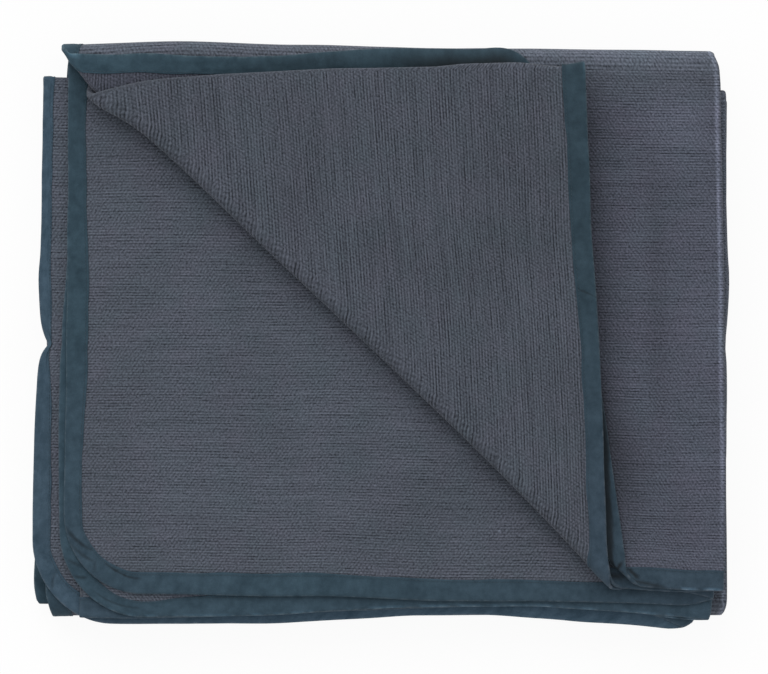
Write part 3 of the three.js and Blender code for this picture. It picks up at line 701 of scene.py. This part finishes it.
bindingTape = makeTape()
print("tape made:", len(bindingTape.data.polygons), "faces")

stitches = {"pitch": 2.5, "length": 1.9, "width": 0.42, "height": 0.2}


def makeStitches():
    count = int(outlineLength / stitches["pitch"])
    middles = (np.arange(count) + 0.5) * outlineLength / count
    middles = middles + 0.18 * np.sin(middles * 1.7)  # sewn a little unevenly
    lean = 0.12 * np.sin(middles * 3.1)
    half = stitches["length"] / 2
    spans = [(-half, 0.15), (-half * 0.45, 1.0), (half * 0.45, 1.0), (half, 0.15)]
    pairs = [(r * 4 + j, r * 4 + (j + 1) % 4) for r in range(3) for j in range(4)]
    blocks, faces = [], []
    for side in (1, -1):
        rings = []
        for offset, size in spans:
            s = middles + offset
            u, v, inU, inV = outlineAt(s)
            flatLine = tape["stitchLine"] + lean * offset
            base = tapeReachAt(s, flatLine, side)
            line = flatLine * tapeWidthAt(s, side) / sizes["tapeWidth"]
            for wide, high in ((-1, 0.0), (0, 1.0), (1, 0.0), (0, -0.6)):
                d = line + wide * stitches["width"] / 2 * size
                w = side * (base + 0.05 + high * stitches["height"] * size)
                rings.append(fold(u + inU * d, v + inV * d, w))
        start = len(blocks) * count * len(rings)
        blocks.append(np.stack(rings, axis=1).reshape(-1, 3))
        for at in range(start, start + count * len(rings), len(rings)):
            quads = [(at + a, at + a + 4, at + b + 4, at + b) for a, b in pairs]
            quads += [(at + 3, at, at + 1, at + 2), (at + 12, at + 15, at + 14, at + 13)]
            faces += [quad[::side] for quad in quads]
    return meshObject("stitching", np.concatenate(blocks), faces)


stitching = makeStitches()
print("stitches made:", len(stitching.data.polygons), "faces")

colours = {
    "yarn": (0.131, 0.142, 0.184, 1), "yarnCool": (0.114, 0.139, 0.173, 1),
    # groove is the painted shade in the hollows between the ribs
    "groove": (0.018, 0.022, 0.03, 1), "thread": (0.034, 0.06, 0.08, 1),
    "tapePale": (0.0365, 0.073, 0.1, 1), "tapeDeep": (0.0096, 0.027, 0.041, 1),
    "tapeWorn": (0.11, 0.15, 0.17, 1), "tapeGreyer": (1.24, 0.97, 1.02, 1),
}


class Wiring:  # adds nodes and links by name
    def __init__(self, tree):
        self.tree = tree

    def node(self, kind, inputs=None, **settings):
        made = self.tree.nodes.new(kind)
        for name, value in settings.items():
            setattr(made, name, value)
        for name, value in (inputs or {}).items():
            self.feed(made, name, value)
        return made

    def feed(self, node, name, value):
        socket = node.inputs[name]
        if isinstance(value, bpy.types.NodeSocket):
            self.tree.links.new(value, socket)
        else:
            socket.default_value = value

    def math(self, operation, a, b=0.0, c=0.0):
        return self.node("ShaderNodeMath", {0: a, 1: b, 2: c}, operation=operation).outputs[0]

    def times(self, a, b):
        return self.math("MULTIPLY", a, b)

    def minus(self, a, b):
        return self.math("SUBTRACT", a, b)

    def timesPlus(self, a, b, c):
        return self.math("MULTIPLY_ADD", a, b, c)

    def raised(self, value, mask, amount):  # raised by the amount where the mask is 1
        return self.times(value, self.timesPlus(mask, amount, 1.0))

    def vector(self, operation, a, b):
        return self.node("ShaderNodeVectorMath", {0: a, 1: b}, operation=operation).outputs

    def mixColour(self, share, a, b, blend="MIX"):
        inputs = {0: share, 6: a, 7: b}
        return self.node("ShaderNodeMix", inputs, data_type="RGBA", blend_type=blend).outputs[2]

    def noise(self, vector, scale, detail=2.0, roughness=0.5):
        return self.node("ShaderNodeTexNoise", {"Vector": vector, "Scale": scale, "Detail": detail,
                                                "Roughness": roughness}).outputs["Fac"]

    def combine(self, x, y, z=0.0):
        return self.node("ShaderNodeCombineXYZ", {0: x, 1: y, 2: z}).outputs[0]

    def between(self, value, low, high):  # 0 at low and 1 at high
        return self.node("ShaderNodeMapRange", {0: value, 1: low, 2: high, 3: 0.0, 4: 1.0}).outputs[0]

    def span(self, value, low, high):  # the same, in millimetres
        return self.between(value, low * metre, high * metre)

    def seenDirect(self):  # 1 for what the camera, a gloss or a clear thing sees
        rays = self.node("ShaderNodeLightPath").outputs
        through = self.math("MAXIMUM", rays["Is Glossy Ray"], rays["Is Transmission Ray"])
        return self.math("MAXIMUM", rays["Is Camera Ray"], through)

    def flatPlace(self):  # the place on the flat cloth or tape, and its parts
        flat = self.node("ShaderNodeUVMap", uv_map="flatCloth").outputs[0]
        return flat, *self.node("ShaderNodeSeparateXYZ", {0: flat}).outputs[:2]


def makeBlotches():  # soft uneven dye, and fine fibres, used by every cloth here
    tree = bpy.data.node_groups.new("unevenDye", "ShaderNodeTree")
    for label, kind in (("Vector", "Vector"), ("Patch Size", "Float"), ("Fibre Size", "Float")):
        tree.interface.new_socket(label, in_out="INPUT", socket_type="NodeSocket" + kind)
    for label in ("Patches", "Fibres"):
        tree.interface.new_socket(label, in_out="OUTPUT", socket_type="NodeSocketFloat")
    w = Wiring(tree)
    given, out = w.node("NodeGroupInput").outputs, w.node("NodeGroupOutput")
    patches = w.noise(given["Vector"], w.math("DIVIDE", 1.0, given["Patch Size"]), 3.0, 0.6)
    fibres = w.noise(given["Vector"], w.math("DIVIDE", 1.0, given["Fibre Size"]), 2.0, 0.7)
    w.feed(out, "Patches", w.between(patches, 0.3, 0.7))
    w.feed(out, "Fibres", w.between(fibres, 0.25, 0.75))
    return tree


def finishMaterial(w, shader, colour, shade, height, depth):
    toned = w.node("ShaderNodeHueSaturation", {"Value": shade, "Color": colour})
    w.feed(shader, "Base Color", toned.outputs[0])
    bump = w.node("ShaderNodeBump", {"Height": height, "Distance": depth, "Strength": 0.6})
    w.feed(shader, "Normal", bump.outputs[0])


unevenDye = makeBlotches()


def dyeNode(w, vector, patch, fibre):
    inputs = {"Vector": vector, "Patch Size": patch, "Fibre Size": fibre}
    return w.node("ShaderNodeGroup", inputs, node_tree=unevenDye).outputs


def newMaterial(name, finish):
    material = bpy.data.materials.new(name)
    material.use_nodes = True
    shader = material.node_tree.nodes["Principled BSDF"]
    for socket, value in finish.items():
        shader.inputs[socket].default_value = value
    return material, Wiring(material.node_tree), shader


weave = {
    "rib": 0.00207,  # between ribs, which run across the blanket
    "bead": 0.0029,  # between the beads of one rib
    "depth": 0.0005,
    "ribShare": 0.24, "beadShare": 0.13, "crossShare": 0.05, "grainShare": 1.8,
    "yarnUneven": 4.6,  # how far one rib swells and thins along its length
    "streaks": 4.2,  # how far it stands out more than the next
    "pulled": -0.085,  # the ribs lie wider on the turned corner
}
tonesAndPaintedLight = {  # how much paler than the yarn; some entries are painted shadow and painted highlights
    "firstPanel": 0.95, "middlePanels": 0.89,  # panel one a little darker than panel four, the middle panels darker still
    "firstTint": (1.035, 0.995, 1.045, 1),
    "flapShadow": -0.2,  # painted shadow next to the raised flap
    # the side, outer and bare fold entries are painted highlights on the folds' crests
    "thirdLeaf": 0.25, "uneven": 0.3, "sideCrestHighlight": 0.95, "outerFold": 0.24, "bareCrestHighlight": 0.26,
}
reaches = {  # where each of them starts and where it is full, across or along the flat cloth
    "flapSide": (432, 397), "flapEnd": (395, 370), "offSideFold": (475, 465), "sideFoldEnd": (20, 100),
    "sideCrest": (2.1, 0.3), "barePart": (260, 330), "bareEnd": (470, 430),
}
flapLean = 0.042  # of the turned corner's edge, off the length of the cloth

marksAndShade = [  # where on the flat cloth, half width and height in mm, share that is soft, and how much paler
    (1646, 82, 1.2, 1.2, 0.7, 0.6), (1553, 50, 1.4, 1.4, 0.7, 1.3), (1784, 50, 1.2, 1.2, 0.7, 0.5),  # lint
    (1794, 84, 1.3, 1.3, 0.7, 0.6), (1749, 120, 1.2, 1.2, 0.7, 0.5), (1701, 136, 1.1, 1.1, 0.7, 0.4),
    (1013, 27, 12, 12, 0.8, -0.1),  # darker and paler patches; the dark ones at u 397 to 440 are painted shade next to the flap's edge
    (439.5, 217, 11, 135, 0.7, -0.13), (462, 346, 42, 38, 0.8, 0.24), (470, 190, 24, 150, 0.8, 0.07),
    (400, 88, 40, 80, 0.8, -0.33), (397.5, 105, 5.5, 62, 0.6, -0.45), (1585, 70, 110, 110, 1.0, -0.08),
    (1030, 60, 110, 80, 0.9, -0.1), (1128, 54, 50, 60, 1.0, 0.08),
]


def ribHeight(w, flat, across, along, clear):  # the ribs, each a row of beads, and the nap's grain
    slow = w.noise(w.combine(w.times(across, 0.35), along), 24.0, 2.0)
    quick = w.noise(flat, 210.0, 1.0)
    u = w.timesPlus(quick, 0.0018, w.timesPlus(slow, 0.003, across))
    v = w.timesPlus(quick, 0.0003, w.timesPlus(slow, 0.0016, along))
    onFlap = w.times(w.span(across, panelThree - 4, panelThree),
                     w.span(across, panelThreeEnd + 4, panelThreeEnd))
    ribs = w.math("DIVIDE", w.times(v, w.timesPlus(onFlap, weave["pulled"], 1.0)), weave["rib"])
    ribAngle = w.times(ribs, 2 * math.pi)
    beadAngle = w.times(u, 2 * math.pi / weave["bead"])
    halfRib = w.times(ribAngle, 0.5)
    rib = w.math("COSINE", ribAngle)
    bead = w.math("COSINE", w.math("ADD", beadAngle, halfRib))  # each bead lies between two of the next rib
    cross = w.math("COSINE", w.minus(beadAngle, halfRib))

    def alongOne(number, place, scale, detail, roughness, amount):  # uneven along one rib or groove
        where = w.combine(w.times(u, scale), w.timesPlus(number, 3.7, place))
        return w.timesPlus(w.minus(w.noise(where, 1.0, detail, roughness), 0.5), amount, 1.0)

    def streaked(half, numbered, scale, place, streak):
        value, number = w.math(half, rib, 0.0), w.math(numbered, ribs)
        value = w.times(value, alongOne(number, place, scale, 3.0, 0.75, weave["yarnUneven"]))
        own = alongOne(number, streak, 20.0, 1.0, 0.5, weave["streaks"])
        return w.times(value, w.math("MAXIMUM", own, 0.1))

    ridge = streaked("MAXIMUM", "ROUND", 150.0, 0.0, 0.2)
    groove = streaked("MINIMUM", "FLOOR", 110.0, 0.37, 0.9)
    ribClear = w.times(w.timesPlus(clear, 0.6, 0.7), w.timesPlus(onFlap, 0.3, 1.0))
    beadClear = w.timesPlus(clear, -1.0, 1.5)
    height = w.times(w.math("ADD", ridge, groove), w.times(ribClear, weave["ribShare"]))
    height = w.timesPlus(w.times(bead, beadClear), weave["beadShare"], height)
    height = w.timesPlus(w.times(cross, beadClear), weave["crossShare"], height)
    grain = w.minus(w.noise(flat, 640.0, 1.0, 0.7), 0.5)
    return w.math("ADD", w.timesPlus(grain, weave["grainShare"], height), 0.5)


def clothShade(w, flat, across, along, clear, pastFirst):  # panel tones, lint, patches, painted shadow next to the flap and painted highlights on the fold crests
    shade = w.timesPlus(pastFirst, tonesAndPaintedLight["middlePanels"] - tonesAndPaintedLight["firstPanel"], tonesAndPaintedLight["firstPanel"])
    pastThird = w.span(across, panelThreeEnd - 10, panelFour + 10)
    shade = w.timesPlus(pastThird, 1 - tonesAndPaintedLight["middlePanels"], shade)
    shade = w.raised(shade, w.span(along, innerFold, thirdLeaf), tonesAndPaintedLight["thirdLeaf"])
    # painted shadow on the cloth next to the raised flap, darkest at its edge
    fromFlap = w.timesPlus(along, flapLean, across)
    flapShadowMask = w.times(w.span(fromFlap, *reaches["flapSide"]), w.span(along, *reaches["flapEnd"]))
    flapShadowMask = w.times(flapShadowMask, w.span(across, *reaches["offSideFold"]))
    shade = w.raised(shade, flapShadowMask, tonesAndPaintedLight["flapShadow"])
    # lint specks, patches, and painted shade next to the flap's edge
    for atU, atV, halfU, halfV, soft, paler in marksAndShade:
        scaled = w.vector("MULTIPLY", flat, (1 / (halfU * metre), 1 / (halfV * metre), 0))[0]
        apart = w.vector("DISTANCE", scaled, (atU / halfU, atV / halfV, 0))["Value"]
        shade = w.raised(shade, w.between(apart, 1.0, 1 - soft), paler)
    shade = w.raised(shade, w.minus(w.noise(flat, 17.0, 2.0), 0.5), tonesAndPaintedLight["uneven"])
    patchy = w.timesPlus(clear, 0.5, 0.75)
    # painted highlight along the side fold's crest
    fromCrest = w.math("ABSOLUTE", w.minus(across, (panels["one"] - 0.7) * metre))
    crest = w.times(w.span(fromCrest, *reaches["sideCrest"]), w.span(along, *reaches["sideFoldEnd"]))
    shade = w.raised(shade, w.times(crest, patchy), tonesAndPaintedLight["sideCrestHighlight"])
    # painted highlight over the outer fold's crest
    outerFoldHighlight = w.minus(w.span(along, outerFold - 4, outerFold + 14),
                       w.span(along, outerFold + 30, outerFold + 60))
    shade = w.raised(shade, w.times(outerFoldHighlight, patchy), tonesAndPaintedLight["outerFold"])
    # painted highlight along the bare stretch of the outer fold's crest, on panel one
    bare = w.times(w.span(along, outerFold - 6, outerFold + 10), w.minus(1.0, pastFirst))
    bare = w.times(w.times(bare, w.span(along, *reaches["bareEnd"])), w.span(across, *reaches["barePart"]))
    return w.raised(shade, bare, tonesAndPaintedLight["bareCrestHighlight"])


def makeRibbedCotton():
    material, w, shader = newMaterial("ribbedCotton", {
        "Roughness": 0.92, "Specular IOR Level": 0.25, "Sheen Weight": 0.15, "Sheen Roughness": 0.4,
        "Sheen Tint": (0.72, 0.75, 0.8, 1)})
    flat, across, along = w.flatPlace()
    clear = w.between(w.noise(flat, 60.0, 2.0), 0.32, 0.66)  # where the ribs stand out or sink into the nap
    height = ribHeight(w, flat, across, along, clear)
    dye = dyeNode(w, flat, 0.03, 0.0007)
    yarn = w.mixColour(dye["Patches"], colours["yarn"], colours["yarnCool"])
    # the grooves between ribs are darkened towards the groove colour: painted shade
    colour = w.mixColour(w.between(height, -0.2, 1.2), colours["groove"], yarn)
    pastFirst = w.span(across, panels["one"], panelTwo)
    tinted = w.times(w.minus(1.0, pastFirst), w.span(along, outerFold, outerFold - 30))
    colour = w.mixColour(tinted, colour, tonesAndPaintedLight["firstTint"], "MULTIPLY")
    shade = clothShade(w, flat, across, along, clear, pastFirst)
    finishMaterial(w, shader, colour, shade, w.timesPlus(dye["Fibres"], 0.25, height), weave["depth"])
    return material


tapeLook = {"blotch": 0.006, "smear": 0.017, "fibre": 0.0009, "crumple": 0.0011}


def makeTapeMaterial():
    material, w, shader = newMaterial("petrolTape", {
        "Roughness": 0.85, "Specular IOR Level": 0.3, "Sheen Weight": 0.1, "Sheen Roughness": 0.4,
        "Sheen Tint": (0.6, 0.74, 0.8, 1)})
    flat, along, inwards = w.flatPlace()
    depth = w.math("ABSOLUTE", inwards)
    small = dyeNode(w, flat, tapeLook["blotch"], tapeLook["fibre"])
    broad = dyeNode(w, flat, tapeLook["smear"], 0.002)
    share = w.timesPlus(broad["Patches"], 0.6, w.times(small["Patches"], 0.5))
    colour = w.mixColour(w.between(share, -0.1, 1.15), colours["tapeDeep"], colours["tapePale"])
    worn = w.times(w.minus(1.0, w.span(depth, 0.2, 1.3)), w.between(small["Patches"], 0.35, 0.9))
    colour = w.mixColour(w.times(worn, 0.4), colour, colours["tapeWorn"])
    # painted shade in the dent along the stitch line
    offStitch = w.math("ABSOLUTE", w.minus(depth, tape["stitchLine"] * metre))
    pulled = w.minus(1.0, w.span(offStitch, 0.2, 1.2))
    colour = w.mixColour(w.times(pulled, 0.22), colour, colours["tapeDeep"])
    # painted shade along each crease of the tape, also used to dent the bump
    creaseShade = w.times(depth, 0.0)
    for fromS, fromDepth, toS, toDepth, half, _, dark, face in creases:
        start = np.array((fromS, fromDepth * face, 0)) * metre
        run = np.array((toS, toDepth * face, 0)) * metre - start
        out = w.vector("SUBTRACT", flat, tuple(start))[0]
        gone = w.between(w.vector("DOT_PRODUCT", out, tuple(run / (run @ run)))["Value"], 0.0, 1.0)
        place = w.node("ShaderNodeVectorMath", {0: tuple(run), "Scale": gone}, operation="SCALE").outputs[0]
        apart = w.vector("DISTANCE", out, place)["Value"]
        apart = w.timesPlus(w.minus(small["Patches"], 0.5), 0.0006, apart)
        ends = w.times(w.between(gone, 0.0, 0.25), w.between(gone, 1.0, 0.7))  # fainter there
        near = w.times(w.span(apart, half, half * 0.1), w.timesPlus(ends, 0.6, 0.4))
        creaseShade = w.math("MAXIMUM", creaseShade, w.times(near, dark))
    tone, greyer = (w.node("ShaderNodeAttribute", attribute_name=name).outputs["Fac"]
                    for name in ("fade", "grey"))
    shade = w.times(w.timesPlus(small["Fibres"], 0.3, 0.85), w.times(tone, w.minus(1.0, creaseShade)))
    colour = w.mixColour(greyer, colour, colours["tapeGreyer"], "MULTIPLY")
    crumple = w.noise(w.combine(along, w.times(inwards, 0.55)), 150.0, 3.0, 0.6)
    height = w.timesPlus(creaseShade, -0.6, w.timesPlus(small["Fibres"], 0.1, crumple))
    finishMaterial(w, shader, colour, shade, height, tapeLook["crumple"])
    return material


def makeThreadMaterial():
    material, w, shader = newMaterial("petrolThread", {"Roughness": 0.7})
    place = w.node("ShaderNodeTexCoord").outputs["Object"]
    dye = dyeNode(w, place, 0.02, 0.0006)
    w.feed(shader, "Base Color", w.mixColour(dye["Fibres"], colours["tapeDeep"], colours["thread"]))
    return material


clothSheet.data.materials.append(makeRibbedCotton())
bindingTape.data.materials.append(makeTapeMaterial())
stitching.data.materials.append(makeThreadMaterial())
print("materials made")

studio = {"floorSize": 6.0, "floorLevel": -0.0004, "floorShade": 0.93, "floorGlow": 0.93,
          "world": 0.7, "sun": 1.5, "sunFrom": (-0.3, 1.0, 0.75), "sunSpread": 0.8}

bpy.ops.object.select_all(action="DESELECT")
bpy.ops.mesh.primitive_plane_add(size=studio["floorSize"], location=(0, 0, studio["floorLevel"]))
floor = bpy.context.object
floor.name = "floor"
floorMaterial, floorWiring, floorShader = newMaterial(
    "paleFloor", {"Base Color": (*[studio["floorShade"]] * 3, 1), "Roughness": 0.9})
whiteLight = floorWiring.node("ShaderNodeEmission", {"Color": (1, 1, 1, 1), "Strength": 1.0})
mixed = floorWiring.node("ShaderNodeMixShader")
floorWiring.feed(mixed, 0, floorWiring.times(floorWiring.seenDirect(), studio["floorGlow"]))
floorWiring.feed(mixed, 1, floorShader.outputs[0])
floorWiring.feed(mixed, 2, whiteLight.outputs[0])
floorWiring.feed(floorMaterial.node_tree.nodes["Material Output"], 0, mixed.outputs[0])
floor.data.materials.append(floorMaterial)

world = bpy.data.worlds.new("softRoom")
world.use_nodes = True
room = Wiring(world.node_tree)
background = world.node_tree.nodes["Background"]
room.feed(background, "Strength", room.timesPlus(room.seenDirect(), 1 - studio["world"], studio["world"]))
background.inputs["Color"].default_value = (1, 1, 1, 1)
bpy.context.scene.world = world

sunData = bpy.data.lights.new("softSun", "SUN")
sunData.energy, sunData.angle = studio["sun"], studio["sunSpread"]
softSun = addObject("softSun", sunData)
softSun.rotation_mode = "QUATERNION"
softSun.rotation_quaternion = Vector(studio["sunFrom"]).to_track_quat("Z", "Y")

view = {"height": 5.0, "aimX": 0.00277, "aimY": -0.00033, "wide": 0.5579, "level": 0.04}
cameraData = bpy.data.cameras.new("camera")
cameraData.sensor_width = 36
cameraData.lens = 36 * (view["height"] - view["level"]) / view["wide"]
cameraData.clip_end = 50
camera = addObject("camera", cameraData)
camera.location = (view["aimX"], view["aimY"], view["height"])
bpy.context.scene.camera = camera
bpy.context.scene.view_settings.view_transform = "Standard"
print("studio ready")

for made in (clothSheet, bindingTape, stitching):
    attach(made, "root")
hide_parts("blanket")
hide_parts("binding")
